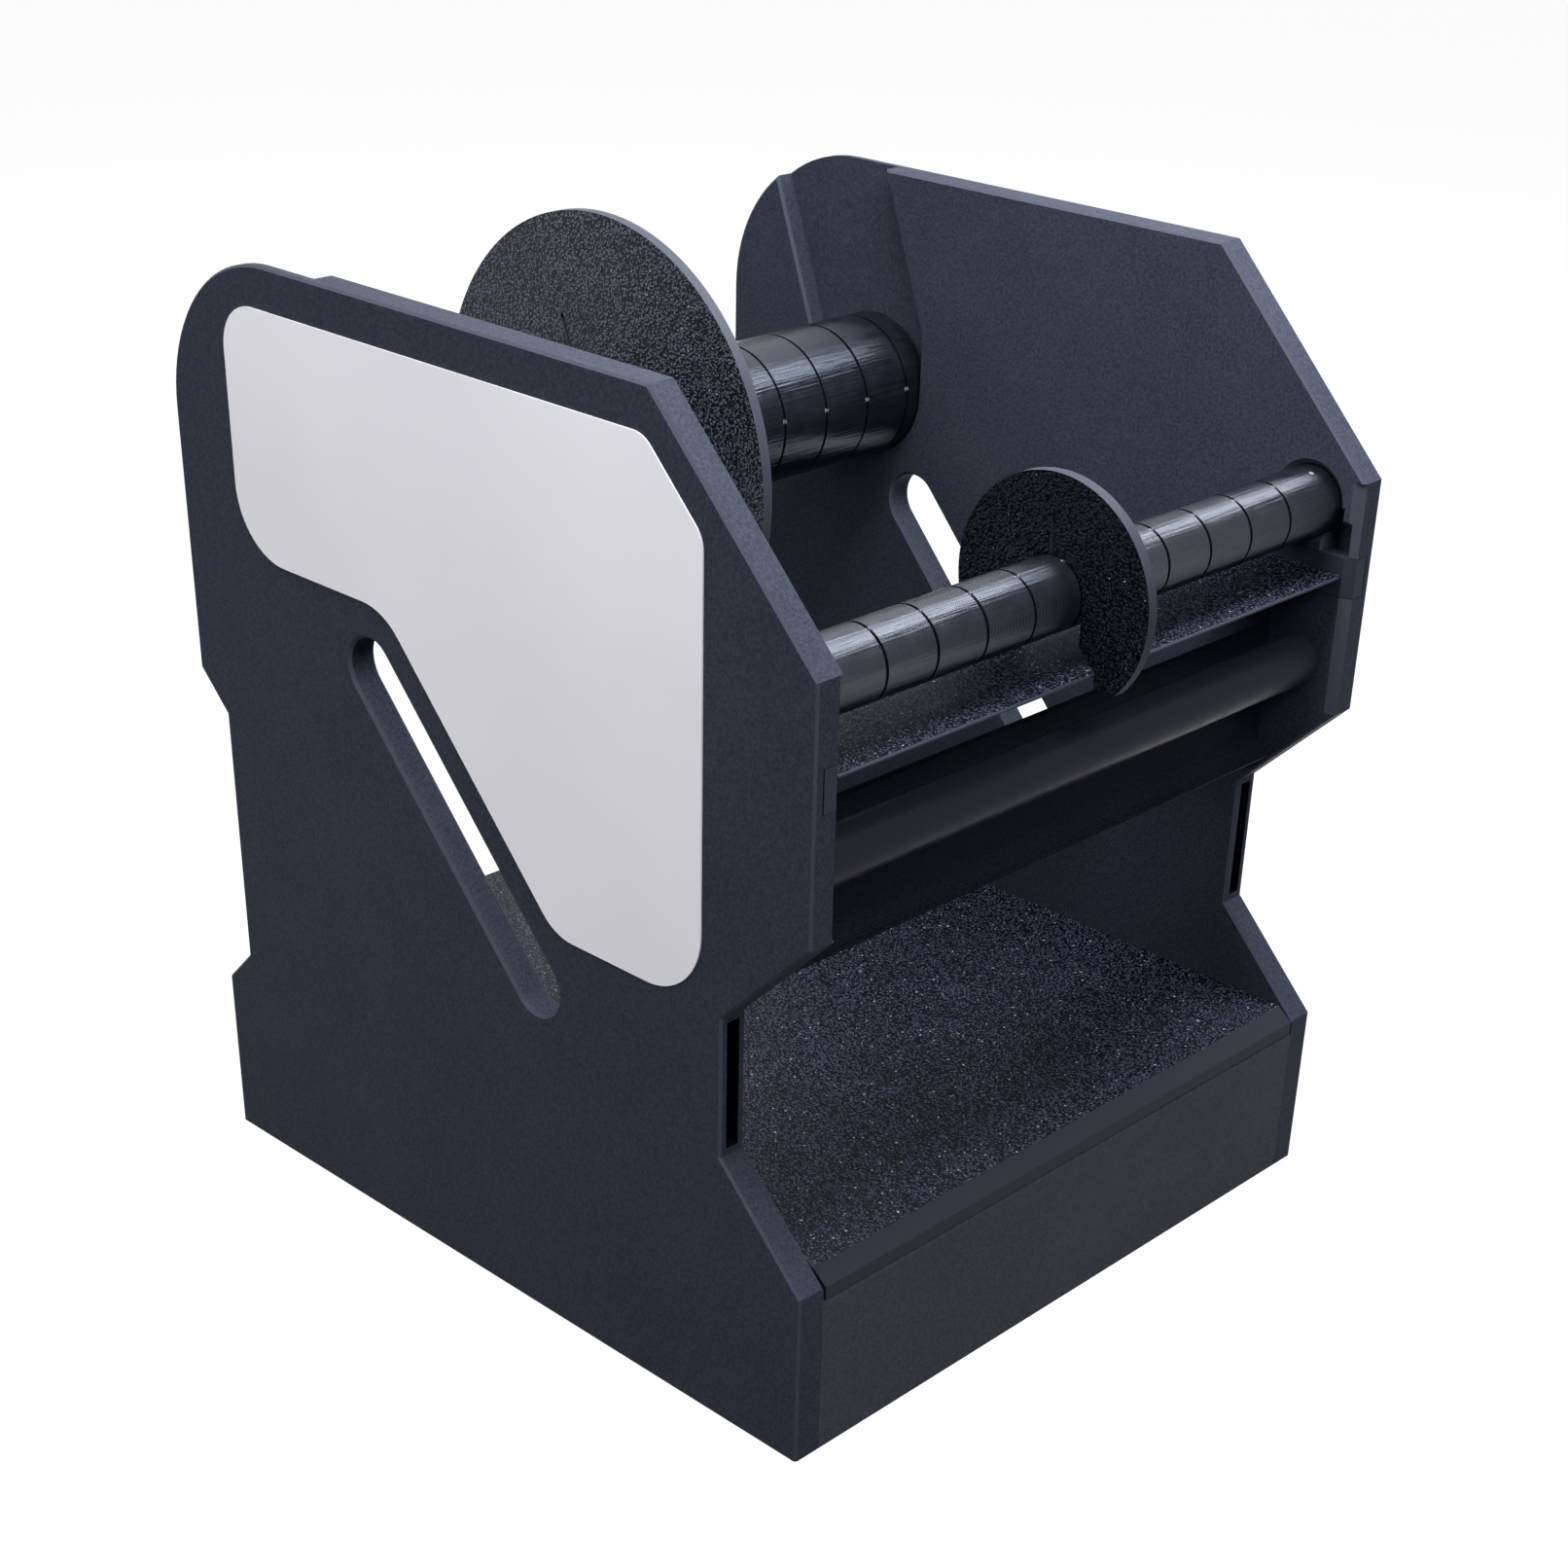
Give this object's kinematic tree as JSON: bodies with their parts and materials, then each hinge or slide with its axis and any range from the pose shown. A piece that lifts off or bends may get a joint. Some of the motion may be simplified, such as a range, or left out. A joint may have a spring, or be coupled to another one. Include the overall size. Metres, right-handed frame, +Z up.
{
  "type": "label dispenser",
  "caption": "Desktop dispenser for label rolls: two shaped side panels hold a roll shaft, a guide roller, a peel plate and a liner bar.",
  "frame": {"origin": "centre of the footprint, on the underside of the base", "axes": "+Z up, -Y towards the peel edge at the front, X along the roll shaft; the side with the visible sticker is at -X"},
  "size_m": [0.1024, 0.1205, 0.1249],
  "materials": {
    "printed_body": "satin printed plastic with fine layer lines",
    "textured_face": "finely pebbled printed plastic",
    "printed_roller": "glossy printed plastic with lengthwise lines",
    "sticker": "smooth pale film"
  },
  "bodies": {
    "frame": {"side_panel_left": "printed_body", "side_panel_right": "printed_body", "base_tray": "printed_body", "deck_plate": "textured_face", "apron_wall": "printed_body", "guide_plate": "textured_face", "side_sticker_left": "sticker", "side_sticker_right": "sticker"},
    "roll_shaft": {"roll_shaft": "printed_roller"},
    "roll_disc": {"roll_disc": "textured_face"},
    "guide_roller": {"guide_roller": "printed_roller"},
    "edge_guide": {"edge_guide": "textured_face"},
    "liner_bar": {"liner_bar": "printed_roller"}
  },
  "joints": [
    {"name": "roll_shaft_turn", "type": "hinge", "parent": "frame", "child": "roll_shaft", "pos_m": [0, 0.0284, 0.0944], "axis": [1, 0, 0], "continuous": true},
    {"name": "roll_disc_slide", "type": "slide", "parent": "roll_shaft", "child": "roll_disc", "axis": [1, 0, 0], "range_m": [-0.0415, 0.0495]},
    {"name": "guide_roller_turn", "type": "hinge", "parent": "frame", "child": "guide_roller", "pos_m": [0, -0.0476, 0.0952], "axis": [1, 0, 0], "continuous": true},
    {"name": "edge_guide_slide", "type": "slide", "parent": "frame", "child": "edge_guide", "axis": [1, 0, 0], "range_m": [-0.042, 0.049]},
    {"name": "liner_bar_turn", "type": "hinge", "parent": "frame", "child": "liner_bar", "pos_m": [0, -0.0493, 0.0748], "axis": [1, 0, 0], "continuous": true}
  ]
}
